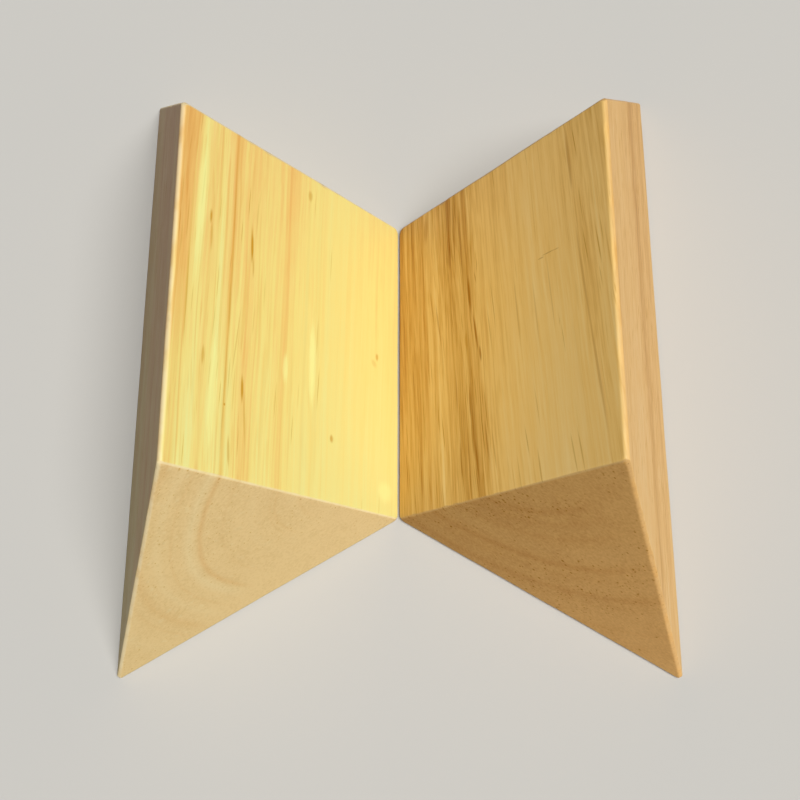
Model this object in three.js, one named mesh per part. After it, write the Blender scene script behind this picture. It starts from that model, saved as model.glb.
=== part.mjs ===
// Two-piece pyramid puzzle: a regular tetrahedron cut in two by the plane through the midpoints
// of four of its edges. Each half is one solid wooden block with five flat faces: a square
// (the cut), two trapezoids and two triangles. The halves lie side by side, each on a trapezoid,
// with their short bottom edges together, so the two squares make a V.
//
// Units are millimetres. +Z is up, +X runs across the pair, +Y runs along the short edges.
// The origin is on the table plane, midway between the two short edges.

import * as THREE from 'three';

// Driving dimensions
const TETRA_EDGE = 80;        // edge of the whole pyramid, between sharp corners
const EDGE_RADIUS = 0.4;      // rounding of all nine edges of a half
const SHORT_EDGE_GAP = 0.2;   // clear space between the two rounded short edges
const ARC_SEGMENTS = 10;      // facets round one rounded edge

// Sharp corners of the left half, with its short edge on the Y axis.
// "Near" corners are towards -Y and "far" corners towards +Y.
const SHORT_HALF = TETRA_EDGE / 4;   // the square is half as wide as the pyramid's edge
const LONG_HALF = TETRA_EDGE / 2;
const LONG_EDGE_X = -TETRA_EDGE * Math.sqrt(3) / 4;   // foot of the outer trapezoid
const RIDGE_X = LONG_EDGE_X * 2 / 3;
const RIDGE_Z = TETRA_EDGE / Math.sqrt(6);

const corners = {
  nearShort: new THREE.Vector3(0, -SHORT_HALF, 0),
  farShort: new THREE.Vector3(0, SHORT_HALF, 0),
  nearLong: new THREE.Vector3(LONG_EDGE_X, -LONG_HALF, 0),
  farLong: new THREE.Vector3(LONG_EDGE_X, LONG_HALF, 0),
  nearRidge: new THREE.Vector3(RIDGE_X, -SHORT_HALF, RIDGE_Z),
  farRidge: new THREE.Vector3(RIDGE_X, SHORT_HALF, RIDGE_Z),
};

// Faces, each listed anticlockwise as seen from outside the block.
const faces = {
  base: ['nearShort', 'nearLong', 'farLong', 'farShort'],
  square: ['nearShort', 'farShort', 'farRidge', 'nearRidge'],
  outer: ['nearLong', 'nearRidge', 'farRidge', 'farLong'],
  nearEnd: ['nearShort', 'nearRidge', 'nearLong'],
  farEnd: ['farShort', 'farLong', 'farRidge'],
};
const faceNames = Object.keys(faces);

// Builds an object with the same keys, each value worked out from its key.
const mapKeys = (source, valueFor) =>
  Object.fromEntries(Object.keys(source).map((key) => [key, valueFor(key)]));

const cross = (first, second) => new THREE.Vector3().crossVectors(first, second);

// Outward unit normal of a face, and the distance of its plane from the origin.
function facePlane(face) {
  const [start, next, last] = faces[face].map((corner) => corners[corner]);
  const normal = cross(next.clone().sub(start), last.clone().sub(start)).normalize();
  return { normal, offset: normal.dot(start) };
}

const planes = mapKeys(faces, facePlane);
const facesAt = mapKeys(corners, (corner) =>
  faceNames.filter((face) => faces[face].includes(corner)));

// Point at a given depth inside each of the three faces that meet at a corner.
function insetCorner(corner, depth) {
  const [first, second, third] = facesAt[corner].map((face) => planes[face]);
  const secondThird = cross(second.normal, third.normal);
  return new THREE.Vector3()
    .addScaledVector(secondThird, first.offset - depth)
    .addScaledVector(cross(third.normal, first.normal), second.offset - depth)
    .addScaledVector(cross(first.normal, second.normal), third.offset - depth)
    .divideScalar(first.normal.dot(secondThird));
}

// Direction at a fraction of the way round the arc from one unit vector to another.
function alongArc(from, to, fraction) {
  const angle = from.angleTo(to);
  return from.clone().multiplyScalar(Math.sin((1 - fraction) * angle))
    .addScaledVector(to, Math.sin(fraction * angle))
    .divideScalar(Math.sin(angle));
}

// The half with every edge rounded to one radius: flat faces, a strip of cylinder on each edge
// and a patch of sphere on each corner, all sharing the same vertices.
function roundedBlock(radius, segments) {
  const positions = [];
  const triangles = [];
  const indexByKey = new Map();
  const centres = mapKeys(corners, (corner) => insetCorner(corner, radius));

  // Index of the vertex on a corner's sphere in the given direction, made on first use.
  function vertex(corner, key, direction) {
    const fullKey = `${corner}|${key}`;
    if (!indexByKey.has(fullKey)) {
      indexByKey.set(fullKey, positions.length / 3);
      positions.push(...centres[corner].clone().addScaledVector(direction, radius));
    }
    return indexByKey.get(fullKey);
  }

  const faceVertex = (corner, face) => vertex(corner, face, planes[face].normal);

  // Vertex at one step of a corner's arc from one face to another.
  // Its key takes the faces in alphabetical order, so both directions find the same vertex.
  function arcVertex(corner, from, to, step) {
    if (step === 0) return faceVertex(corner, from);
    if (step === segments) return faceVertex(corner, to);
    if (from > to) return arcVertex(corner, to, from, segments - step);
    const direction = alongArc(planes[from].normal, planes[to].normal, step / segments);
    return vertex(corner, `${from}|${to}|${step}`, direction);
  }

  function addFlatFace(face) {
    const loop = faces[face].map((corner) => faceVertex(corner, face));
    for (let i = 1; i + 1 < loop.length; i++) triangles.push(loop[0], loop[i], loop[i + 1]);
  }

  // Strips on the edges of a face, leaving out those that its neighbour adds.
  function addEdgeStrips(face) {
    const loop = faces[face];
    loop.forEach((start, index) => {
      const end = loop[(index + 1) % loop.length];
      const neighbour = facesAt[start].find((other) =>
        other !== face && faces[other].includes(end));
      if (face > neighbour) return;
      for (let i = 0; i < segments; i++) {
        const start0 = arcVertex(start, face, neighbour, i);
        const start1 = arcVertex(start, face, neighbour, i + 1);
        const end0 = arcVertex(end, face, neighbour, i);
        const end1 = arcVertex(end, face, neighbour, i + 1);
        triangles.push(start0, start1, end1, start0, end1, end0);
      }
    });
  }

  // Triangular patch of sphere, divided in rows between the three faces at a corner.
  function addCornerPatch(corner) {
    let [first, second, third] = facesAt[corner];
    const turn = cross(planes[first].normal, planes[second].normal).dot(planes[third].normal);
    if (turn < 0) [second, third] = [third, second];   // keeps the triangles facing outwards

    // Vertex i steps from the first face towards the second and j steps towards the third.
    function patchVertex(i, j) {
      if (j === 0) return arcVertex(corner, first, second, i);
      if (i === 0) return arcVertex(corner, first, third, j);
      if (i + j === segments) return arcVertex(corner, second, third, j);
      const fraction = (i + j) / segments;
      const rowStart = alongArc(planes[first].normal, planes[second].normal, fraction);
      const rowEnd = alongArc(planes[first].normal, planes[third].normal, fraction);
      return vertex(corner, `in|${i}|${j}`, alongArc(rowStart, rowEnd, j / (i + j)));
    }

    for (let i = 0; i < segments; i++) {
      for (let j = 0; i + j < segments; j++) {
        const towardsSecond = patchVertex(i + 1, j);
        const towardsThird = patchVertex(i, j + 1);
        triangles.push(patchVertex(i, j), towardsSecond, towardsThird);
        if (i + j + 1 < segments) {
          triangles.push(towardsSecond, patchVertex(i + 1, j + 1), towardsThird);
        }
      }
    }
  }

  faceNames.forEach(addFlatFace);
  faceNames.forEach(addEdgeStrips);
  Object.keys(corners).forEach(addCornerPatch);

  const geometry = new THREE.BufferGeometry();
  geometry.setAttribute('position', new THREE.Float32BufferAttribute(positions, 3));
  geometry.setIndex(triangles);
  geometry.computeVertexNormals();
  return geometry;
}

// X of the left half's sharp short edge, so that its rounded edge stands half the gap from x = 0.
function leftShortEdgeX() {
  const { normal } = planes.square;
  const roundedBackBy = EDGE_RADIUS * (1 + normal.z) / normal.x - EDGE_RADIUS;
  return roundedBackBy - SHORT_EDGE_GAP / 2;
}

const wood = (color) => new THREE.MeshStandardMaterial({ color, roughness: 0.5, metalness: 0 });
const paleWood = wood(0xe6c67c);
const tanWood = wood(0xd4a85e);

function makeHalf({ name, geometry, material, x, turn }) {
  const half = new THREE.Mesh(geometry, material);
  half.name = name;
  half.position.x = x;
  half.rotation.z = turn;
  return half;
}

// The two halves are congruent: the right one is the same block turned half round.
const geometry = roundedBlock(EDGE_RADIUS, ARC_SEGMENTS);
const shortEdgeX = leftShortEdgeX();

const puzzle = new THREE.Group();
puzzle.name = 'two_piece_pyramid';
puzzle.add(
  makeHalf({ name: 'left_half', geometry, material: paleWood, x: shortEdgeX, turn: 0 }),
  makeHalf({ name: 'right_half', geometry, material: tanWood, x: -shortEdgeX, turn: Math.PI }),
);

export default puzzle;
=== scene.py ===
"""Two-piece wooden pyramid puzzle: two solid half-tetrahedra lying side by side.

Each half lies on its base with the grain along Y. The square face slopes up from the short edge
to the ridge, the outer face drops from the ridge to the long edge, and a triangle closes each
end: near towards -Y, far towards +Y. The CAD bodies give the five planes. Each half is a fine
mesh on them with hand-sanded edges, in a solid wood that runs through it from face to face.
"""

import math

import bpy
import numpy as np
from mathutils import Matrix, Vector


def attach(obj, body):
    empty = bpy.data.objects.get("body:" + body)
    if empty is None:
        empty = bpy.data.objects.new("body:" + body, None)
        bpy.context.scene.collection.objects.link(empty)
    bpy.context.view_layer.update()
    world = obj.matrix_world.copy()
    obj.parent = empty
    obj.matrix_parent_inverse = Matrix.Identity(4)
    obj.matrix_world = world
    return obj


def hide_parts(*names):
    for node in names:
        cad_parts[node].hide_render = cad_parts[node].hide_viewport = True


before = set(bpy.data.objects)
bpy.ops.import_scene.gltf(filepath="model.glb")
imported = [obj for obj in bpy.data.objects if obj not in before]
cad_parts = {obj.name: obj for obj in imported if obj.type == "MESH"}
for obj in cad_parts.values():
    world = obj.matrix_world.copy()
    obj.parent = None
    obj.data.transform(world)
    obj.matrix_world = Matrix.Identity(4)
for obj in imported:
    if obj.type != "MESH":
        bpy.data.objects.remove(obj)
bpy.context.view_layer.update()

# ---------------------------------------------------------------- shape, in millimetres

MM = 0.001                 # metres in a millimetre
METRE = 1000.0             # millimetres in a metre
EDGE_RADIUS = 0.4          # the CAD's sanded edge
ARC = 8                    # segments round a sanded edge
ACROSS, ALONG = 84, 126    # grid steps across the grain and along it
CROWD = 0.62               # how much the grid closes up towards the edges
SAME_FACE = 0.99995        # cosine above which two CAD polygons share a plane

ARC_STEPS = np.arange(ARC + 1) / ARC
ARC_CREST = np.sin(np.pi * ARC_STEPS)  # 0 at the flats, 1 halfway round the edge

FACES = ["base", "square", "outer", "near", "far"]
CORNERS = {  # corner: its three faces
    "near_short": ("base", "square", "near"),
    "far_short": ("base", "square", "far"),
    "near_long": ("base", "outer", "near"),
    "far_long": ("base", "outer", "far"),
    "near_ridge": ("square", "outer", "near"),
    "far_ridge": ("square", "outer", "far"),
}
EDGES = {  # edge: corner, corner, face, face, steps
    "short": ("near_short", "far_short", "base", "square", ALONG),
    "long": ("near_long", "far_long", "base", "outer", ALONG),
    "ridge": ("near_ridge", "far_ridge", "square", "outer", ALONG),
    "square_near": ("near_short", "near_ridge", "square", "near", ACROSS),
    "square_far": ("far_short", "far_ridge", "square", "far", ACROSS),
    "leg_near": ("near_ridge", "near_long", "outer", "near", ACROSS),
    "leg_far": ("far_ridge", "far_long", "outer", "far", ACROSS),
    "base_near": ("near_short", "near_long", "base", "near", ACROSS),
    "base_far": ("far_short", "far_long", "base", "far", ACROSS),
}
LONG_FACES = (  # face, its two edges along the grain, its near and far edges
    ("square", "short", "ridge", "square_near", "square_far"),
    ("base", "short", "long", "base_near", "base_far"),
    ("outer", "ridge", "long", "leg_near", "leg_far"),
)


def unit(vector):
    vector = np.asarray(vector, float)
    return vector / np.linalg.norm(vector, axis=-1, keepdims=True)


def face_name(normal):
    if normal[2] < -0.9:
        return "base"
    if normal[2] > 0.5:
        return "square"
    if abs(normal[0]) > 0.9:
        return "outer"
    return "near" if normal[1] < 0 else "far"


def cad_planes(node):
    """The five flat faces of a CAD half as {face: (outward normal, offset)}."""
    groups = []
    for polygon in node.data.polygons:
        normal = np.array(polygon.normal, float)
        centre = np.array(polygon.center, float) * METRE
        area = polygon.area
        sized = (area, normal @ centre)
        for group in groups:
            if normal @ group["first"] > SAME_FACE:
                group["area"] += area
                group["sum"] += normal * area
                group["largest"] = max(group["largest"], sized)
                break
        else:
            groups.append(dict(first=normal, area=area, sum=normal * area, largest=sized))
    planes = {}
    for group in sorted(groups, key=lambda group: -group["area"])[:5]:
        normal = unit(group["sum"])
        planes[face_name(normal)] = (normal, group["largest"][1])
    if len(planes) != 5:
        raise RuntimeError("a CAD half doesn't show five flat faces")
    return planes


def spread(share):
    """Even shares from 0 to 1, crowded towards both ends."""
    return share - CROWD * np.sin(2 * np.pi * share) / (2 * np.pi)


def slerp(start, end, share):
    angle = math.acos(float(np.clip(start @ end, -1, 1)))
    share = np.asarray(share, float)[..., None]
    return (np.sin((1 - share) * angle) * start + np.sin(share * angle) * end) / math.sin(angle)


def triangle_index(first, second, opposite):
    """A triangular table of vertices with its three sides filled in."""
    steps = np.arange(len(first))
    index = np.full((len(first), len(first)), -1)
    index[steps[::-1], steps] = opposite
    index[:, 0] = first
    index[0, :] = second
    return index


def lower_triangle(index, i, j):
    return np.stack([index[i, j], index[i + 1, j], index[i, j + 1]], -1)


def upper_triangle(index, i, j):
    return np.stack([index[i + 1, j], index[i + 1, j + 1], index[i, j + 1]], -1)


class Block:
    """The fine mesh of one half: flat grids, strips round the edges and corner patches.

    All of them share vertices. polygons and owners are parallel lists of arrays, where an
    owner is the number in FACES of the face that a polygon belongs to.
    """

    def __init__(self, planes):
        self.planes = planes
        self.normal = {face: plane[0] for face, plane in planes.items()}
        self.centre = {}  # centres of the rounded corners
        for corner, trio in CORNERS.items():
            normals = np.array([self.normal[face] for face in trio])
            offsets = np.array([planes[face][1] - EDGE_RADIUS for face in trio])
            self.centre[corner] = np.linalg.solve(normals, offsets)
        self.points, self.normals, self.crest = [], [], []
        self.count = 0
        self.polygons, self.owners = [], []

        self.add_arcs()
        self.add_strips()
        for row in LONG_FACES:
            self.add_long_face(*row)
        for face in ("near", "far"):
            self.add_end(face)
        for corner, trio in CORNERS.items():
            self.add_corner_patch(corner, trio)
        self.points = np.concatenate(self.points)
        self.normals = np.concatenate(self.normals)
        self.crest = np.concatenate(self.crest)
        self.turn_outwards()

    def add(self, points, normals, crest):
        """Stores vertices and returns their numbers."""
        points = np.asarray(points, float).reshape(-1, 3)
        self.points.append(points)
        self.normals.append(np.broadcast_to(np.asarray(normals, float), points.shape))
        self.crest.append(np.broadcast_to(np.asarray(crest, float), (len(points),)))
        index = np.arange(self.count, self.count + len(points))
        self.count += len(points)
        return index

    def add_quads(self, grid, owner):
        quads = np.stack([grid[:-1, :-1], grid[1:, :-1], grid[1:, 1:], grid[:-1, 1:]], -1)
        self.polygons.append(quads.reshape(-1, 4))
        self.owners.append(np.broadcast_to(owner, quads.shape[:2]).reshape(-1))

    def flat_point(self, corner, face):
        return self.centre[corner] + EDGE_RADIUS * self.normal[face]

    def add_arcs(self):
        """The arcs that join the flat faces at each corner."""
        flat = {
            (corner, face): self.add(self.flat_point(corner, face), self.normal[face], 0.0)[0]
            for corner, trio in CORNERS.items()
            for face in trio
        }
        self.arcs = {}
        for corner, (one, two, three) in CORNERS.items():
            for face, other in ((one, two), (two, three), (one, three)):
                normals = slerp(self.normal[face], self.normal[other], ARC_STEPS[1:-1])
                points = self.centre[corner] + EDGE_RADIUS * normals
                middle = self.add(points, normals, ARC_CREST[1:-1])
                line = np.concatenate([[flat[corner, face]], middle, [flat[corner, other]]])
                self.arcs[corner, face, other] = line
                self.arcs[corner, other, face] = line[::-1]

    def add_strips(self):
        """The rounded strips along the edges."""
        self.strips = {}
        for edge, (start, end, face, other, steps) in EDGES.items():
            normals = slerp(self.normal[face], self.normal[other], ARC_STEPS)
            share = spread(np.arange(1, steps) / steps)[:, None]
            axis = self.centre[start] + share * (self.centre[end] - self.centre[start])
            points = axis[None] + EDGE_RADIUS * normals[:, None]
            inner = self.add(
                points,
                np.broadcast_to(normals[:, None], points.shape).reshape(-1, 3),
                np.broadcast_to(ARC_CREST[:, None], points.shape[:2]).reshape(-1),
            ).reshape(ARC + 1, steps - 1)
            sides = [self.arcs[corner, face, other][:, None] for corner in (start, end)]
            self.strips[edge] = np.concatenate([sides[0], inner, sides[1]], 1)
            owner = np.where(np.arange(ARC) < ARC // 2, FACES.index(face), FACES.index(other))
            self.add_quads(self.strips[edge], owner[:, None])

    def side(self, edge, face):
        """The line of vertices where an edge strip meets a face."""
        return self.strips[edge][0 if EDGES[edge][2] == face else ARC]

    def add_long_face(self, face, low, high, near, far):
        grid = np.empty((ALONG + 1, ACROSS + 1), int)
        grid[:, 0], grid[:, -1] = self.side(low, face), self.side(high, face)
        grid[0, :], grid[-1, :] = self.side(near, face), self.side(far, face)
        along = spread(np.arange(1, ALONG) / ALONG)[:, None, None]
        across = spread(np.arange(1, ACROSS) / ACROSS)[None, :, None]

        def line(edge):
            start, end = (self.flat_point(corner, face) for corner in EDGES[edge][:2])
            return (1 - along) * start + along * end

        points = (1 - across) * line(low) + across * line(high)
        inner = self.add(points, self.normal[face], 0.0)
        grid[1:-1, 1:-1] = inner.reshape(ALONG - 1, ACROSS - 1)
        self.add_quads(grid, FACES.index(face))

    def add_end(self, face):
        """A triangular end. Its table counts steps towards the ridge, then the long edge."""
        steps = ACROSS
        sides = [self.side(edge + face, face) for edge in ("square_", "base_", "leg_")]
        index = triangle_index(*sides)
        counts = np.meshgrid(np.arange(1, steps), np.arange(1, steps), indexing="ij")
        to_ridge, to_long = [count.reshape(-1) for count in counts]
        keep = to_ridge + to_long < steps
        to_ridge, to_long = to_ridge[keep], to_long[keep]
        counts = (steps - to_ridge - to_long, to_ridge, to_long)
        weights = np.stack([spread(count / steps) for count in counts], -1)
        weights /= weights.sum(-1, keepdims=True)
        ends = ("_short", "_ridge", "_long")
        corners = np.array([self.flat_point(face + end, face) for end in ends])
        index[to_ridge, to_long] = self.add(weights @ corners, self.normal[face], 0.0)
        triangles = []
        for i in range(steps):
            j = np.arange(steps - i)
            triangles.append(lower_triangle(index, i, j))
            triangles.append(upper_triangle(index, i, j[:-1]))
        triangles = np.concatenate(triangles)
        self.polygons.append(triangles)
        self.owners.append(np.full(len(triangles), FACES.index(face)))

    def add_corner_patch(self, corner, trio):
        one, two, three = trio
        normals = [self.normal[face] for face in trio]
        pairs = ((one, two), (one, three), (two, three))
        index = triangle_index(*[self.arcs[(corner, *pair)] for pair in pairs])
        for i in range(1, ARC):
            for j in range(1, ARC - i):
                start = slerp(normals[0], normals[1], (i + j) / ARC)
                end = slerp(normals[0], normals[2], (i + j) / ARC)
                outward = slerp(start, end, j / (i + j))
                point = self.centre[corner] + EDGE_RADIUS * outward
                index[i, j] = self.add(point, outward, 1.0)[0]
        triangles = []
        for i in range(ARC):
            for j in range(ARC - i):
                triangles.append(lower_triangle(index, i, j))
                if i + j + 1 < ARC:
                    triangles.append(upper_triangle(index, i, j))
        triangles = np.array(triangles)
        middle = np.concatenate(self.points)[triangles].mean(1) - self.centre[corner]
        nearest = np.argmax(np.stack([middle @ normal for normal in normals]), 0)
        self.polygons.append(triangles)
        self.owners.append(np.array([FACES.index(face) for face in trio])[nearest])

    def turn_outwards(self):
        for polygons in self.polygons:
            spot = self.points[polygons]
            normal = np.cross(spot[:, 1] - spot[:, 0], spot[:, 2] - spot[:, 0])
            flip = np.einsum("ij,ij->i", normal, self.normals[polygons].sum(1)) < 0
            polygons[flip] = polygons[flip][:, ::-1]


# ---------------------------------------------------------------- sanding, in millimetres

FACE_DROP, FACE_WAVE = 0.016, 0.005     # mean sanding depth, and the height of each wave in it
WAVES, WAVE_LENGTH = 9, (9, 30)
RIM_DROP, RIM_REACH = 0.012, 0.5        # extra depth near the rim of a face, and its fall-off
EDGE_CUT = 0.035
EDGE_WANDERS = ((0.030, 17.0), (0.010, 3.1))  # depth, wavelength
KNOCKS = (2, 5)                         # least knocks on an edge, and one above the most
KNOCK_DEPTH, KNOCK_HALF = (0.03, 0.11), (0.25, 0.7)
KNOCK_MARGIN = 3                        # no knocks this close to a corner
EDGE_SOFT, CORNER_SOFT = 0.016, 0.05    # how softly a cut runs out


def softly_above(height, width):
    return width * np.logaddexp(0.0, height / width)


def wander(spot, rng, wavelength):
    """A smooth wandering line along spot, between about -1 and 1: the sum of five waves."""
    total = np.zeros_like(spot)
    for i in range(5):
        phase = rng.uniform(0, 2 * np.pi)
        wave = np.sin(2 * np.pi * spot / (wavelength * (0.55 + 0.5 * i)) + phase)
        total += wave * rng.uniform(0.5, 1.0)
    return total / (0.75 * math.sqrt(5) * 1.4)


def sand_by_hand(block, seed, corner_cut):
    """Moves the vertices inwards by hundredths of a millimetre, as sanding and knocks do."""
    rng = np.random.default_rng(seed)
    points = block.points.copy()
    depths = [block.planes[face][1] - block.points @ block.normal[face] for face in FACES]
    from_rim = np.sort(np.stack(depths, -1), -1)[:, 1]
    wave = np.zeros(len(points))
    for _ in range(WAVES):
        direction = unit(rng.normal(size=3)) * 2 * np.pi / rng.uniform(*WAVE_LENGTH)
        wave += np.sin(points @ direction + rng.uniform(0, 2 * np.pi))
    drop = FACE_DROP + FACE_WAVE * wave + RIM_DROP * np.exp(-from_rim / RIM_REACH)
    points -= block.normals * np.clip(drop, 0.0, None)[:, None]

    for start, end, face, other, _ in EDGES.values():
        outward = unit(block.normal[face] + block.normal[other])
        along = block.centre[end] - block.centre[start]
        length = np.linalg.norm(along)
        spot = (points - block.centre[start]) @ (along / length)
        top = outward @ block.centre[start] + EDGE_RADIUS
        cut = EDGE_CUT
        for depth, wavelength in EDGE_WANDERS:
            cut = cut + depth * wander(spot, rng, wavelength)
        for _ in range(rng.integers(*KNOCKS)):
            depth = rng.uniform(*KNOCK_DEPTH)
            middle = rng.uniform(KNOCK_MARGIN, length - KNOCK_MARGIN)
            cut += depth * np.exp(-(((spot - middle) / rng.uniform(*KNOCK_HALF)) ** 2))
        above = points @ outward - (top - np.clip(cut, 0.0, None))
        points -= outward * softly_above(above, EDGE_SOFT)[:, None]

    for corner, trio in CORNERS.items():
        outward = unit(sum(block.normal[face] for face in trio))
        top = outward @ block.centre[corner] + EDGE_RADIUS
        above = points @ outward - (top - corner_cut[corner])
        points -= outward * softly_above(above, CORNER_SOFT)[:, None]
    block.points = points


# ---------------------------------------------------------------- meshes

SHORT = 40.0                        # the short edge; the long edge is twice as long
LANE = SHORT * math.sqrt(3) / 2     # height of the trapezoids and triangles
PAD, GAP = 0.9, 1.7                 # texture margins: round the sheet, between faces
FAR_LIFT = 0.4                      # further shift of the upturned far triangle
SHEET_WIDE = 3.5 * SHORT + GAP + 2 * PAD
SHEET_TALL = LANE + SHORT + GAP + 2 * PAD
FIT = (3.5 * SHORT - 2 * GAP) / (2.5 * SHORT)  # stretches the upper row to the sheet's width
UPPER_ROW = PAD + LANE + GAP
SHEET = {  # face: U offset, V offset, U scale, V sign
    "outer": (PAD + SHORT, PAD, 1.0, 1.0),
    "base": (PAD + 2.5 * SHORT + GAP, PAD, 1.0, 1.0),
    "square": (PAD + SHORT / 2 * FIT, UPPER_ROW, FIT, 1.0),
    "near": (PAD + 1.5 * SHORT * FIT + GAP, UPPER_ROW, FIT, 1.0),
    "far": (PAD + 2 * SHORT * FIT + 2 * GAP, UPPER_ROW + LANE + FAR_LIFT, FIT, -1.0),
}
LOW_HIGH = {  # long face: the corners at its lowest and highest V
    "square": ("near_short", "near_ridge"),
    "base": ("near_short", "near_long"),
    "outer": ("near_long", "near_ridge"),
}


def face_axes(block, face):
    """Origin, U direction and V direction of a face."""
    if face in LOW_HIGH:
        low, high = (block.centre[corner] for corner in LOW_HIGH[face])
        level = np.array([1.0, 0.0, 1.0])  # leaves out y
        return low * level, np.array([0.0, 1.0, 0.0]), unit((high - low) * level)
    short, long = block.centre[face + "_short"], block.centre[face + "_long"]
    origin = (short + long) / 2
    return origin, unit(long - short), unit(block.centre[face + "_ridge"] - origin)


def texture_coordinates(block):
    """UVs of each polygon corner: the five faces laid out, the long ones with grain along U."""
    axes = {face: face_axes(block, face) for face in FACES}
    layout = []
    for polygons, owners in zip(block.polygons, block.owners):
        spots = np.empty(polygons.shape + (2,))
        for number, face in enumerate(FACES):
            here = owners == number
            origin, right, up = axes[face]
            offset_u, offset_v, scale, sign = SHEET[face]
            local = block.points[polygons[here]] - origin
            spots[here, :, 0] = offset_u + scale * (local @ right)
            spots[here, :, 1] = offset_v + sign * (local @ up)
        spots /= np.array([SHEET_WIDE, SHEET_TALL])
        layout.append(np.clip(spots, 0.0005, 0.9995).reshape(-1, 2))
    return np.concatenate(layout)


def vertex_normals(block):
    """Normals weighted by area, so that flat faces stay flat up to the sanded edge."""
    total = np.zeros((block.count, 3))
    for polygons in block.polygons:
        spot = block.points[polygons]
        if polygons.shape[1] == 4:
            normal = np.cross(spot[:, 2] - spot[:, 0], spot[:, 3] - spot[:, 1])
        else:
            normal = np.cross(spot[:, 1] - spot[:, 0], spot[:, 2] - spot[:, 0])
        for i in range(polygons.shape[1]):
            np.add.at(total, polygons[:, i], normal)
    return unit(total)


def block_mesh(name, block):
    mesh = bpy.data.meshes.new(name)
    sizes = np.concatenate([np.full(len(part), part.shape[1]) for part in block.polygons])
    loops = np.concatenate([part.reshape(-1) for part in block.polygons])
    starts = np.concatenate([[0], np.cumsum(sizes)[:-1]])
    mesh.vertices.add(block.count)
    mesh.vertices.foreach_set("co", (block.points * MM).astype(np.float32).ravel())
    mesh.loops.add(len(loops))
    mesh.loops.foreach_set("vertex_index", loops.astype(np.int32))
    mesh.polygons.add(len(sizes))
    mesh.polygons.foreach_set("loop_start", starts.astype(np.int32))
    mesh.polygons.foreach_set("use_smooth", np.ones(len(sizes), bool))
    mesh.update(calc_edges=True)
    layer = mesh.uv_layers.new(name="OFBake")
    layer.data.foreach_set("uv", texture_coordinates(block).astype(np.float32).ravel())
    edge_crest = mesh.attributes.new("edge_crest_mask", "FLOAT", "POINT")
    edge_crest.data.foreach_set("value", block.crest.astype(np.float32))
    if mesh.validate():
        raise RuntimeError(name + ": the mesh had faults")
    mesh.normals_split_custom_set_from_vertices(vertex_normals(block).astype(np.float32))
    return mesh


# ---------------------------------------------------------------- shader nodes


class Signal:
    """A node's output. Arithmetic on it adds nodes to its graph."""

    def __init__(self, graph, socket):
        self.graph, self.socket = graph, socket

    def math(self, operation, second=0.0, third=0.0, clamp=False):
        return self.graph.math(operation, self, second, third, clamp)

    def __add__(self, other):
        return self.math("ADD", other)

    def __sub__(self, other):
        return self.math("SUBTRACT", other)

    def __rsub__(self, other):
        return self.graph.math("SUBTRACT", other, self)

    def __mul__(self, other):
        return self.math("MULTIPLY", other)

    def mul_add(self, factor, offset):
        return self.math("MULTIPLY_ADD", factor, offset)

    def maximum(self, other, clamp=False):
        return self.math("MAXIMUM", other, clamp=clamp)

    def step(self, low, high, to_low=0.0, to_high=1.0):
        """Smooth step: to_low at low, to_high at high."""
        inputs = {"Value": self, "From Min": low, "From Max": high}
        inputs.update({"To Min": to_low, "To Max": to_high})
        return self.graph.signal(
            "ShaderNodeMapRange", inputs, interpolation_type="SMOOTHSTEP")

    def split(self):
        node = self.graph.node("ShaderNodeSeparateXYZ", {0: self})
        return [Signal(self.graph, socket) for socket in node.outputs]

    def ramp(self, stops):
        """Linear ramp through (position, grey or colour) stops."""
        node = self.graph.node("ShaderNodeValToRGB", {0: self})
        node.color_ramp.interpolation = "LINEAR"
        elements = node.color_ramp.elements
        while len(elements) > 1:
            elements.remove(elements[-1])
        for i, (position, value) in enumerate(stops):
            if i == 0:
                elements[0].position = position
                element = elements[0]
            else:
                element = elements.new(position)
            colour = (value,) * 3 if np.isscalar(value) else value
            element.color = (*colour, 1.0)
        return Signal(self.graph, node.outputs[0])


class Graph:
    """Adds nodes to one tree. Input values may be numbers or signals."""

    def __init__(self, tree):
        self.tree = tree

    def put(self, socket, value):
        if isinstance(value, Signal):
            self.tree.links.new(value.socket, socket)
        else:
            socket.default_value = value

    def node(self, kind, inputs, **settings):
        node = self.tree.nodes.new(kind)
        for key, value in settings.items():
            setattr(node, key, value)
        for key, value in inputs.items():
            self.put(node.inputs[key], value)
        return node

    def signal(self, kind, inputs, output=0, **settings):
        return Signal(self, self.node(kind, inputs, **settings).outputs[output])

    def math(self, operation, first, second, third=0.0, clamp=False):
        inputs = {0: first, 1: second, 2: third}
        return self.signal("ShaderNodeMath", inputs, operation=operation, use_clamp=clamp)

    def vector(self, x, y, z):
        return self.signal("ShaderNodeCombineXYZ", {0: x, 1: y, 2: z})

    def dot(self, first, second):
        inputs = {0: first, 1: second}
        return self.signal("ShaderNodeVectorMath", inputs, "Value", operation="DOT_PRODUCT")

    def noise(self, vector, detail, rough=0.5, colour=False):
        inputs = {"Vector": vector, "Scale": 1.0, "Detail": detail, "Roughness": rough}
        output = "Color" if colour else 0
        return self.signal("ShaderNodeTexNoise", inputs, output, noise_dimensions="3D")

    def mix(self, factor, first, second, blend="MIX"):
        inputs = {0: factor}
        for key, value in ((6, first), (7, second)):
            inputs[key] = (*value, 1.0) if isinstance(value, tuple) else value
        return self.signal("ShaderNodeMix", inputs, 2, data_type="RGBA", blend_type=blend)

    def tint(self, factor, colour, tint):
        """Multiplies a colour by a tint, by the share in factor."""
        return self.mix(factor, colour, self.mix(1.0, colour, tint, "MULTIPLY"))


# ---------------------------------------------------------------- wood

RING_REACH = 40.0  # largest distance from the heart that the ring tables cover


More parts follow.
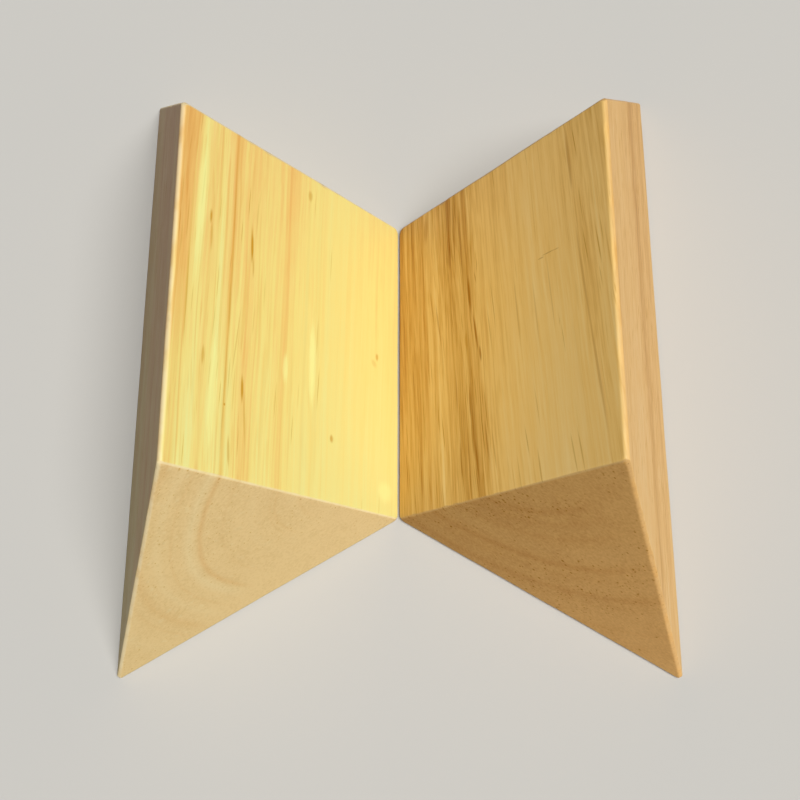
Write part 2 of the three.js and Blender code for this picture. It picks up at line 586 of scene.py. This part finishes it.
class Wood:
    """Solid wood for one half.

    Places in the block are in mm: up runs up the square face from the short edge, out stands
    out of that face and along follows y. "Long faces" are those along the grain.
    """

    def __init__(self, name, square, look):
        self.look = look
        self.material = bpy.data.materials.new(name)
        self.material.use_nodes = True
        self.material.node_tree.nodes.clear()
        self.graph = Graph(self.material.node_tree)
        self.set_place(square)
        self.set_grain()
        self.set_ends()
        self.set_rings()
        self.set_textures()
        self.set_pores()
        colour = self.face_colour(self.darkness())
        colour = self.fine_colour(colour)
        colour = self.marked_colour(colour)
        self.set_surface(colour)

    def set_place(self, square):
        graph = self.graph
        normal, offset = square
        side = 1.0 if normal[0] < 0 else -1.0
        slope = (side * abs(normal[2]), 0.0, abs(normal[0]))
        metres = graph.signal("ShaderNodeTexCoord", {}, "Object")
        inputs = {0: metres, "Scale": METRE}
        place = graph.signal("ShaderNodeVectorMath", inputs, operation="SCALE")
        self.along = place.split()[1]
        self.up = graph.dot(place, slope)
        self.out = graph.dot(place, tuple(float(x) for x in normal)) - float(offset)

    def stretched(self, up, out, across, along, shifts):
        """Noise coordinates for features of a given size across and along the grain."""
        return self.graph.vector(
            up.mul_add(1 / across, shifts[0]),
            self.along.mul_add(1 / along, shifts[1]),
            out.mul_add(1 / across, shifts[2]),
        )

    def block_noise(self, across, along, shifts, **kind):
        vector = self.stretched(self.up, self.out, across, along, shifts)
        return self.graph.noise(vector, **kind)

    def even_noise(self, across_rate, along_rate, **kind):
        """Noise by features per mm, without a shift."""
        up, along = self.up * across_rate, self.along * along_rate
        return self.graph.noise(self.graph.vector(up, along, self.out * across_rate), **kind)

    def grain_noise(self, across, along, shifts, **kind):
        vector = self.stretched(self.grain_up, self.grain_out, across, along, shifts)
        return self.graph.noise(vector, **kind)

    def streak(self, across, along, shift, detail=1.0, rough=0.5):
        shifts = (shift, shift * 1.7, shift * 0.6)
        return self.grain_noise(across, along, shifts, detail=detail, rough=rough)

    def set_grain(self):
        """The grain leans, more so up the face, and wanders slowly and quickly."""
        seed_1, seed_2, seed_3 = self.look["seed"]
        lean, lean_per_up = self.look["lean"]
        wander_size = self.look["wander"]
        quick_size = 0.5
        slow = self.block_noise(15.0, 44.0, (seed_1, seed_2, seed_3), detail=0.0, colour=True)
        slow_up, _, slow_out = slow.split()
        quick = self.block_noise(2.4, 15.0, (seed_3, seed_1, seed_2), detail=0.0, colour=True)
        self.quick_up, _, quick_out = quick.split()
        slant = self.along * self.up.mul_add(lean_per_up, lean)
        self.slow_up = self.up + slant + slow_up.mul_add(wander_size, -wander_size / 2)
        self.slow_out = self.out + slow_out.mul_add(wander_size, -wander_size / 2)
        self.grain_up = self.slow_up + self.quick_up.mul_add(quick_size, -quick_size / 2)
        self.grain_out = self.slow_out + quick_out.mul_add(quick_size, -quick_size / 2)

    def set_ends(self):
        """end is how far the surface is cut across the grain: 0 on long faces, 1 on ends."""
        normal = self.graph.signal("ShaderNodeNewGeometry", {}, "True Normal")
        turned = self.graph.signal(
            "ShaderNodeVectorTransform", {0: normal},
            vector_type="NORMAL", convert_from="WORLD", convert_to="OBJECT")
        self.end = turned.split()[1].math("ABSOLUTE").step(low=0.25, high=0.62)
        self.long = 1.0 - self.end

    def both(self, key):
        """A look value given as (on long faces, on ends)."""
        on_long, on_end = self.look[key]
        return self.end.mul_add(on_end - on_long, on_long)

    def set_rings(self):
        """Growth rings round the heart of the log, which lies outside the block."""
        look = self.look
        heart_up, heart_out = look["heart"]
        from_up, from_out = self.slow_up - heart_up, self.slow_out - heart_out
        radius = (from_up * from_up + from_out * from_out).math("SQRT")
        radius += (self.quick_up - 0.5) * 0.22  # the quick wander ruffles the rings
        reach = radius * (1 / RING_REACH)
        low, high = look["ring_side"]
        shown = self.up.step(low, high)
        plain = look["plain_side"]

        def rings(key):
            return reach.ramp([(distance / RING_REACH, value) for distance, value in look[key]])

        self.tone = rings("tones") * shown.mul_add(1.0 - plain, plain)
        self.busy = rings("busy") * shown.mul_add(1.0 - plain, plain)
        self.line = rings("lines") * shown
        self.pale = rings("pales") * shown

    def set_textures(self):
        seed_1, seed_2, seed_3 = self.look["seed"]
        self.broad = self.streak(across=5.0, along=80.0, shift=4.0 + seed_1)
        self.band = self.streak(across=0.95, along=38.0, shift=9.0 + seed_2, detail=2.0)
        self.fine = self.streak(0.34, 16.0, shift=15.0 + seed_3, detail=2.0, rough=0.6)
        self.thread = self.streak(across=0.42, along=34.0, shift=18.0 + seed_1)
        self.fleck = self.streak(across=0.30, along=5.5, shift=24.0 + seed_3)
        self.fibre = self.streak(0.12, 3.0, shift=21.0 + seed_1, detail=2.0, rough=0.6)
        self.patch = self.streak(across=0.9, along=8.0, shift=30.0 + seed_2)
        self.mottle = self.block_noise(3.0, 3.4, shifts=(2.0, 5.0, 7.0), detail=2.0)
        self.grit = self.grain_noise(0.30, 3.0, shifts=(6.0, 1.0, 3.0), detail=2.0, rough=0.6)

    def vessels(self, pitch, length, shift, low, high, share):
        """Thin tubes along the grain, low to high in radius as a share of the pitch."""
        shifts = (shift, shift * 2.3, shift * 1.3)
        leaning = self.along.mul_add(self.look["vessel_lean"], self.grain_up)
        vector = self.stretched(leaning, self.grain_out, pitch, length, shifts)
        cells = self.graph.node(
            "ShaderNodeTexVoronoi", {"Vector": vector, "Scale": 1.0},
            voronoi_dimensions="3D", feature="F1")
        distance = Signal(self.graph, cells.outputs["Distance"])
        chance = Signal(self.graph, cells.outputs["Color"])
        pick_size, pick_there, pick_strength = chance.split()
        size = pick_size.mul_add(high - low, low) * self.both("pore_size")
        ragged = distance + self.fibre.mul_add(0.10, -0.05)
        mask = ragged.step(low=size * 1.3, high=size * 0.5)
        thinning = (self.end * self.deep).mul_add(self.look["pore_deep"] - 1.0, 1.0)
        there = pick_there.math("GREATER_THAN", 1.0 - self.busy * thinning * share)
        return mask * there * pick_strength.mul_add(0.6, 0.4)

    def set_pores(self):
        """A long face cuts the vessels to dark dashes and an end cuts them to pores."""
        seed_1, seed_2, seed_3 = self.look["seed"]
        self.deep = self.out.step(low=-1.5, high=-5.0)  # well below the square face
        small = self.vessels(0.46, 13.0, 40.0 + seed_1, low=0.12, high=0.23, share=1.0)
        large = self.vessels(0.92, 20.0, 50.0 + seed_2, low=0.07, high=0.17, share=0.8)
        self.pores = small.maximum(large)
        middle = self.vessels(0.60, 16.0, 60.0 + seed_3, low=0.11, high=0.22, share=0.9)
        self.pores = self.pores.maximum(middle)

    def darkness(self):
        """Position on the colour ramps."""
        look = self.look
        dark = (self.band - 0.5) * look["band"]
        dark += (self.fine - 0.5) * look["fine"]
        dark *= self.busy.mul_add(0.75, 0.25)  # a quarter of the streaks where wood is calm
        dark += (self.fibre - 0.5) * look["fibre"]
        dark += (self.broad - 0.5) * look["broad"]
        dark *= self.long.mul_add(0.75, 0.25)  # and a quarter on the ends
        dark += self.tone * self.both("tone")
        dark += (self.mottle - 0.5) * self.both("mottle")
        dark += (self.grit - 0.5) * self.end * look["grit"]
        return dark + self.along.mul_add(look["drift"] / 20.0, look["base"])

    def face_colour(self, dark):
        graph, look = self.graph, self.look
        on_long = dark.ramp(look["long_colours"])
        colour = graph.mix(self.end, on_long, dark.ramp(look["end_colours"]))
        # The long faces darken slowly towards the short edge, most in blue.
        low, high, start = look["warm"]
        warmth = self.up.step(low, high, to_low=start)
        green, blue = warmth.mul_add(1.15, -0.15), warmth.mul_add(1.25, -0.25)
        colour = graph.tint(self.long, colour, graph.vector(warmth, green, blue))
        base, per_up, per_out = look["end_shade"]
        shade = self.up.mul_add(per_up, self.out.mul_add(per_out, base))
        shades = graph.vector(shade, shade, shade.mul_add(1.35, -0.30))
        colour = graph.tint(self.end, colour, shades)
        # The other long faces have aged differently from the mating square.
        # The outer and base faces are tinted darker than the square: painted shade, strongest
        # on the left half's outer face.
        on_square = self.out.step(low=-0.45, high=-0.05)
        return graph.tint((1.0 - on_square) * self.long, colour, look["outer_painted_shade"])

    def fine_colour(self, colour):
        """Coloured threads and ring lines, then dark flecks, pale wood and vessels."""
        graph, look, both = self.graph, self.look, self.both
        threads = self.thread.step(low=0.56, high=0.70) * (self.busy * both("thread"))
        self.flecks = self.fleck.step(low=0.58, high=0.74) * (self.busy * both("fleck"))
        lines = self.line * both("line") * self.patch.mul_add(1.2, 0.4)
        colour = graph.tint(threads.maximum(lines, clamp=True), colour, look["line_tint"])
        colour = graph.tint(self.flecks, colour, look["fleck_tint"])
        pale = self.pale * both("pale")
        patches = self.patch.step(low=0.58, high=0.80) * (self.busy * look["patch"])
        colour = graph.tint(pale.maximum(patches), colour, look["pale_tint"])
        pores = self.pores.math("MULTIPLY", both("pore"), clamp=True)
        return graph.tint(pores, colour, look["pore_tint"])

    def marks(self, rows):
        """Single ragged ellipses on the square face."""
        total = None
        for up, along, half_up, half_along, tilt, amount in rows:
            across = (self.up - up - (self.along - along) * tilt) * (1 / half_up)
            length = (self.along - along) * (1 / half_along)
            distance = (across * across + length * length).math("SQRT")
            ragged = distance + self.fibre.mul_add(0.8, -0.4)
            mark = ragged.step(low=1.15, high=0.35) * amount
            total = mark if total is None else total.maximum(mark)
        return total * self.out.step(low=-0.5, high=-0.2)

    def marked_colour(self, colour):
        graph, look = self.graph, self.look
        # Pale spots of painted sheen on the square face, then dark marks.
        if look["painted_sheen"]:
            colour = graph.mix(self.marks(look["painted_sheen"]), colour, look["painted_sheen_colour"])
        self.dents = self.marks(look["marks"])
        colour = graph.mix(self.dents, colour, look["mark_colour"])
        # Edges rubbed by wear, with a painted highlight on the left half and painted shade
        # dimming the right half's lit ridge.
        self.edge_crest = graph.signal(
            "ShaderNodeAttribute", {}, "Fac",
            attribute_type="GEOMETRY", attribute_name="edge_crest_mask")
        uneven = self.even_noise(across_rate=0.5, along_rate=0.35, detail=3.0)
        rub_and_painted_light = self.edge_crest * uneven.step(low=0.30, high=0.62, to_low=0.35)
        return graph.mix(rub_and_painted_light * look["rub_and_painted_light"], colour, look["rub_and_painted_light_colour"])

    def roughness(self):
        rough = self.fine.mul_add(0.16, self.look["rough"] - 0.08)
        rough += self.pores * 0.18 + self.end * 0.10
        rough -= self.edge_crest * 0.06
        rough += self.mottle.mul_add(0.08, -0.04)
        return rough.math("MINIMUM", 0.9)

    def relief(self):
        """Open vessels, fibre and the faint tooth left by sandpaper."""
        height = self.pores * -0.14
        height += (self.fibre - 0.5) * 0.14 * self.long.mul_add(0.7, 0.3)
        height += (self.fine - 0.5) * 0.16 * self.long
        sanding = self.even_noise(across_rate=5.0, along_rate=5.0, detail=3.0, rough=0.6)
        height += (sanding - 0.5) * 0.16
        height -= self.dents * 0.05
        inputs = {"Strength": 1.0, "Distance": 0.000005, "Height": height}
        return self.graph.signal("ShaderNodeBump", inputs)

    def set_surface(self, colour):
        rough = self.roughness()
        open_grain = self.pores.maximum(self.dents).maximum(self.flecks * 0.6, clamp=True)
        surface = self.graph.signal("ShaderNodeBsdfPrincipled", {
            "Base Color": colour,
            "Roughness": rough,
            "Specular IOR Level": open_grain.mul_add(-0.17, 0.20),  # open grain doesn't shine
            "IOR": 1.45,
            "Normal": self.relief(),
        })
        self.graph.node("ShaderNodeOutputMaterial", {"Surface": surface})


def peaks(*items):
    """Ramp stops for narrow peaks, each (centre, half width, height)."""
    stops = [(0.0, 0.0)]
    for centre, half, height in sorted(items):
        stops += [(centre - half, 0.0), (centre, height), (centre + half, 0.0)]
    return stops


# The two looks share their keys, explained in the first. A pair of strengths is (on long
# faces, on ends). A tint multiplies the colour.
LEFT_LOOK = dict(
    seed=(0.7, 3.9, 6.2),     # noise shifts
    heart=(14.0, 5.6),        # centre of the rings: up, out
    lean=(0.012, 0.0),        # slope of the grain, and its change per mm up
    vessel_lean=0.03,
    wander=1.1,               # range of the slow wander
    ring_side=(12.0, 17.5),   # rings come in between these two heights
    plain_side=0.26,          # strength of tone and activity where they are out
    # Rings as (distance from the heart, strength): darkness, activity, lines, pale rings
    tones=[
        (0.0, 0.10), (5.6, 0.12), (7.4, 0.18), (8.3, 0.32), (9.0, 0.58), (10.6, 0.62),
        (12.3, 0.34), (13.4, 0.32), (14.4, 0.5), (15.3, 0.68), (16.0, 0.5), (17.0, 0.28),
        (18.1, 0.55), (18.9, 0.42), (19.8, 0.10), (20.8, 0.5), (21.7, 0.45), (22.6, 0.02),
        (23.6, 0.55), (24.5, 1.0), (25.6, 0.9), (27.2, 0.5), (30.0, 0.4), (32.0, 0.6),
        (36.0, 0.35),
    ],
    busy=[
        (0.0, 0.15), (5.6, 0.25), (8.0, 0.40), (10.5, 0.50), (13.0, 0.45), (16.0, 0.65),
        (18.2, 0.80), (20.0, 0.75), (24.0, 1.0), (27.0, 0.9), (36.0, 0.7),
    ],
    lines=peaks(
        (6.2, 0.25, 0.25), (7.3, 0.25, 0.35), (9.9, 0.25, 0.5), (10.45, 0.2, 0.3),
        (15.6, 0.3, 0.25), (18.1, 0.45, 1.0), (21.2, 0.24, 0.45), (24.7, 0.8, 0.6),
        (26.2, 0.35, 0.3),
    ),
    pales=peaks(
        (8.0, 0.5, 0.2), (12.6, 0.6, 0.15), (19.2, 0.9, 1.0), (22.6, 0.7, 0.5),
        (28.6, 1.0, 0.3),
    ),
    # Strengths of the textures in the darkness
    band=0.95, fine=0.60, fibre=0.16, broad=0.22,
    patch=0.55,               # strength of the pale patches
    tone=(0.42, 0.12), mottle=(0.06, 0.30), grit=0.85,
    drift=0.11,               # darkness gained per 20 mm along
    base=0.20,                # darkness to start from
    warm=(0.0, 6.0, 0.97),    # from this height to that, brightness goes from this to 1
    long_colours=[            # darkness, colour
        (0.0, (0.785, 0.77, 0.31)), (0.30, (0.825, 0.71, 0.245)),
        (0.65, (0.81, 0.54, 0.175)), (1.0, (0.70, 0.36, 0.095)),
    ],
    end_colours=[
        (0.0, (0.86, 0.64, 0.30)), (0.5, (0.73, 0.515, 0.215)), (1.0, (0.58, 0.36, 0.135)),
    ],
    end_shade=(0.965, 0.0, 0.0030),  # brightness of the ends, change per mm up and out
    # painted shade: darkens the outer and base faces
    outer_painted_shade=(0.54, 0.455, 0.42),
    line_tint=(0.88, 0.66, 0.44), line=(0.60, 0.36), thread=(0.55, 0.0),
    fleck=(0.35, 0.0), fleck_tint=(0.88, 0.68, 0.44),
    pale_tint=(1.04, 1.14, 1.30), pale=(0.35, 0.60),
    pore_size=(0.85, 0.70),
    pore_deep=0.8,            # share of pores left on the ends, deep below the square
    pore=(0.60, 0.75), pore_tint=(0.66, 0.48, 0.10),
    # Painted sheen spots and marks on the square face: up, along, half width, half length,
    # tilt, amount
    painted_sheen_colour=(0.87, 0.90, 0.37),
    painted_sheen=[
        (17.5, -4.0, 0.72, 6.0, 0.01, 0.75), (22.1, -5.8, 0.50, 2.0, 0.0, 0.60),
        (33.1, -11.0, 0.75, 7.5, -0.03, 0.60), (36.0, 9.0, 0.75, 9.5, -0.03, 0.50),
        (3.2, -17.0, 1.6, 1.5, 0.0, 0.45),
    ],
    mark_colour=(0.55, 0.29, 0.02),
    marks=[
        (28.2, 7.2, 0.25, 2.5, 0.06, 0.95), (27.9, 4.8, 0.16, 1.6, 0.02, 0.50),
        (34.6, 8.3, 0.22, 1.0, 0.0, 0.80), (34.4, 6.2, 0.24, 2.0, 0.03, 0.40),
        (28.8, -9.9, 0.24, 1.7, 0.04, 0.90), (28.3, -13.0, 0.18, 3.4, 0.08, 0.42),
        (30.4, -17.2, 0.22, 1.9, 0.08, 0.50), (34.7, -7.6, 0.24, 1.2, 0.0, 0.50),
        (30.0, -5.0, 0.12, 5.0, -0.12, 0.34), (37.4, -1.0, 0.16, 6.0, 0.0, 0.40),
        (31.1, 8.0, 0.15, 13.0, 0.0, 0.34), (31.2, -1.0, 0.20, 3.6, 0.0, 0.50),
        (31.4, -10.0, 0.14, 9.0, -0.02, 0.34), (18.6, 17.4, 0.42, 0.80, 0.0, 0.50),
        (5.0, 0.3, 0.34, 0.55, 0.0, 0.62), (5.6, -0.7, 0.60, 0.60, 0.4, 0.22),
        (13.7, -12.3, 0.36, 0.56, 0.0, 0.68), (31.3, -12.2, 0.17, 0.19, 0.0, 0.85),
    ],
    rub_and_painted_light=0.55, rub_and_painted_light_colour=(0.88, 0.79, 0.54),  # worn edges, with a painted highlight along them
    rough=0.46,               # mean roughness
)

RIGHT_LOOK = dict(
    seed=(5.3, 1.2, 9.4),
    heart=(26.5, 11.8),
    lean=(0.040, 0.0015),
    vessel_lean=0.06,
    wander=1.3,
    ring_side=(33.0, 26.0),
    plain_side=0.45,
    tones=[
        (0.0, 0.15), (11.8, 0.15), (12.3, 0.16), (13.0, 0.24), (13.7, 0.34), (14.2, 0.42),
        (14.8, 0.6), (15.5, 0.88), (16.1, 1.0), (16.8, 0.72), (17.5, 0.9), (18.2, 0.85),
        (18.9, 0.6), (19.9, 0.55), (20.9, 0.44), (21.9, 0.46), (23.7, 0.52), (25.4, 0.54),
        (26.7, 0.6), (27.6, 0.85), (28.6, 0.85), (30.5, 0.55), (33.0, 0.35), (35.5, 0.6),
        (38.0, 0.3),
    ],
    busy=[
        (0.0, 0.2), (11.8, 0.28), (12.8, 0.34), (13.7, 0.48), (14.4, 0.8), (15.1, 1.0),
        (17.6, 1.0), (18.7, 0.85), (21.9, 0.7), (25.4, 0.64), (28.1, 0.6), (31.0, 0.5),
        (38.0, 0.4),
    ],
    lines=peaks(
        (15.6, 0.6, 0.8), (17.3, 0.5, 0.35), (19.4, 0.5, 0.5), (23.5, 0.7, 1.0),
        (25.2, 0.4, 0.4), (28.0, 0.7, 0.7), (33.5, 0.6, 0.5),
    ),
    pales=peaks((18.3, 0.5, 0.4), (21.4, 1.3, 1.0), (26.6, 0.8, 0.6), (30.4, 0.9, 0.4)),
    band=0.90, fine=1.10, fibre=0.30, broad=0.20,
    patch=0.35,
    tone=(0.46, 0.20), mottle=(0.08, 0.32), grit=1.05,
    drift=0.07,
    base=0.19,
    warm=(-3.0, 24.0, 0.83),
    long_colours=[
        (0.0, (0.97, 0.715, 0.315)), (0.32, (0.93, 0.615, 0.21)),
        (0.62, (0.74, 0.43, 0.105)), (1.0, (0.44, 0.19, 0.026)),
    ],
    end_colours=[
        (0.0, (0.80, 0.46, 0.145)), (0.5, (0.655, 0.34, 0.092)), (1.0, (0.44, 0.185, 0.038)),
    ],
    end_shade=(0.70, 0.0042, -0.0094),
    # painted shade: darkens the outer and base faces
    outer_painted_shade=(0.88, 0.81, 0.82),
    line_tint=(0.82, 0.66, 0.42), line=(0.36, 0.38), thread=(0.40, 0.0),
    fleck=(0.70, 0.05), fleck_tint=(0.80, 0.70, 0.40),
    pale_tint=(1.05, 1.10, 1.22), pale=(0.30, 0.40),
    pore_size=(1.0, 1.08),
    pore_deep=0.55,
    pore=(0.62, 0.85), pore_tint=(0.54, 0.39, 0.03),
    painted_sheen=[],
    mark_colour=(0.39, 0.15, 0.004),
    marks=[
        (15.5, 5.4, 0.36, 2.8, -0.12, 0.80), (16.6, 0.2, 0.24, 2.8, -0.17, 0.75),
        (17.4, -2.7, 0.22, 1.2, -0.12, 0.70), (17.0, 8.6, 0.10, 1.0, 0.10, 0.40),
        (16.7, 7.2, 0.14, 0.9, -0.2, 0.45), (15.3, -8.2, 0.30, 2.6, -0.05, 0.60),
        (15.7, -11.5, 0.34, 3.8, -0.06, 0.55), (16.4, -15.5, 0.26, 3.2, -0.14, 0.62),
        (18.3, -13.8, 0.18, 3.0, -0.13, 0.52), (13.4, -14.8, 0.20, 3.0, -0.05, 0.52),
        (12.7, -6.5, 0.19, 3.2, -0.06, 0.48), (12.6, 14.0, 0.20, 5.4, -0.05, 0.52),
        (11.6, 14.5, 0.16, 4.0, -0.03, 0.42), (9.2, 3.2, 0.20, 3.6, -0.20, 0.42),
        (7.8, 6.2, 0.16, 2.8, -0.16, 0.40), (6.9, -1.2, 0.14, 2.2, -0.05, 0.35),
        (6.6, 17.5, 0.55, 2.2, 0.02, 0.42), (5.4, -16.0, 0.14, 2.8, -0.08, 0.45),
        (1.2, -5.0, 0.22, 4.2, -0.02, 0.28), (24.2, 0.5, 0.14, 5.2, -0.10, 0.28),
        (27.4, -1.0, 0.14, 4.6, -0.10, 0.22), (29.9, 0.5, 0.13, 5.0, -0.11, 0.24),
        (33.6, 15.5, 0.28, 4.4, -0.08, 0.45), (35.0, 0.5, 0.20, 7.0, -0.12, 0.34),
        (36.4, -10.0, 0.22, 7.0, -0.13, 0.36), (28.5, 5.30, 0.55, 0.10, 0.0, 0.42),
        (29.8, 5.52, 1.10, 0.09, 0.0, 0.48), (31.0, 5.48, 0.50, 0.08, 0.0, 0.36),
    ],
    # worn edges, darkened as painted shade on the lit ridge
    rub_and_painted_light=0.30, rub_and_painted_light_colour=(0.56, 0.42, 0.24),
    rough=0.48,
)

# ---------------------------------------------------------------- the two halves

HALVES = (  # side, sanding seed, depth sanded off each corner in the order of CORNERS, look
    ("left", 11, (0.10, 0.24, 0.16, 0.18, 0.12, 0.20), LEFT_LOOK),
    ("right", 29, (0.13, 0.22, 0.18, 0.14, 0.12, 0.16), RIGHT_LOOK),
)


def make_half(side, seed, corner_cuts, look):
    cad_name = side + "_half"
    block = Block(cad_planes(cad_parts[cad_name]))
    sand_by_hand(block, seed, dict(zip(CORNERS, corner_cuts)))
    name = side + "_half_wood"
    half = bpy.data.objects.new(name, block_mesh(name, block))
    bpy.context.scene.collection.objects.link(half)
    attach(half, cad_name)
    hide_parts(cad_name)
    side + "_wood"
    wood = Wood(side + "_wood_solid", block.planes["square"], look)
    half.data.materials.append(wood.material)


for row in HALVES:
    make_half(*row)

# ---------------------------------------------------------------- studio, in metres

FLOOR_HALF, FLOOR_DROP = 9.0, 0.00001
FILL_DISTANCE = 1.0
COOL = (0.86, 0.92, 1.0)
scene = bpy.context.scene


def make_floor():
    mesh = bpy.data.meshes.new("studio_floor")
    signs = ((-1, -1), (1, -1), (1, 1), (-1, 1))
    corners = [(x * FLOOR_HALF, y * FLOOR_HALF, 0) for x, y in signs]
    mesh.from_pydata(corners, [], [(0, 1, 2, 3)])
    floor = bpy.data.objects.new("studio_floor", mesh)
    floor.location.z = -FLOOR_DROP
    scene.collection.objects.link(floor)
    material = bpy.data.materials.new("studio_floor")
    material.use_nodes = True
    inputs = material.node_tree.nodes["Principled BSDF"].inputs
    inputs["Base Color"].default_value = (0.52, 0.52, 0.52, 1.0)
    inputs["Roughness"].default_value = 0.85
    inputs["Specular IOR Level"].default_value = 0.2
    floor.data.materials.append(material)


def add_lamp(name, kind, location, direction, **settings):
    """A lamp whose back points in the given direction."""
    light = bpy.data.lights.new(name, kind)
    for key, value in settings.items():
        setattr(light, key, value)
    lamp = bpy.data.objects.new(name, light)
    lamp.location = location
    lamp.rotation_mode = "QUATERNION"
    lamp.rotation_quaternion = direction.to_track_quat("Z", "Y")
    scene.collection.objects.link(lamp)


def make_world():
    """Dim cool light on the pieces, and a bright backdrop for the camera alone."""
    world = bpy.data.worlds.new("studio")
    world.use_nodes = True
    graph = Graph(world.node_tree)
    lit = world.node_tree.nodes["Background"]
    lit.inputs["Color"].default_value = (*COOL, 1.0)
    lit.inputs["Strength"].default_value = 0.06
    seen = {"Color": (1.0, 0.985, 0.965, 1.0), "Strength": 0.60}
    backdrop = graph.signal("ShaderNodeMixShader", {
        0: graph.signal("ShaderNodeLightPath", {}, "Is Camera Ray"),
        1: Signal(graph, lit.outputs[0]),
        2: graph.signal("ShaderNodeBackground", seen),
    })
    graph.put(world.node_tree.nodes["World Output"].inputs["Surface"], backdrop)
    scene.world = world


def make_camera():
    data = bpy.data.cameras.new("camera")
    data.sensor_width = 36.0
    data.lens = 46.93
    data.clip_start, data.clip_end = 0.01, 20.0
    camera = bpy.data.objects.new("camera", data)
    scene.collection.objects.link(camera)
    sight = Vector((-0.01751, 0.28490, -0.95840)).normalized()
    across = Vector((0.99984, 0.00063, -0.01808))
    across = (across - sight * across.dot(sight)).normalized()
    turn = Matrix((across, across.cross(sight), -sight)).transposed().to_4x4()
    place = Vector((2.547, -43.065, 130.771)) * MM
    camera.matrix_world = Matrix.Translation(place) @ turn
    scene.camera = camera


make_floor()
add_lamp(  # a wide, distant softbox
    "key", "SUN", location=(0.34, -0.12, 0.95), direction=Vector((0.285, -0.12, 0.95)),
    energy=3.65, angle=math.radians(37), color=(1.0, 0.97, 0.90))
fill_direction = Vector((-0.9, -0.7, 0.8)).normalized()
add_lamp(
    "fill", "AREA", location=fill_direction * FILL_DISTANCE, direction=fill_direction,
    shape="DISK", size=0.8, energy=0.12, color=COOL)
make_world()
scene.view_settings.view_transform = "Standard"
scene.view_settings.look = "None"
scene.view_settings.exposure = 0.0
scene.view_settings.gamma = 1.0
make_camera()

bpy.context.view_layer.update()
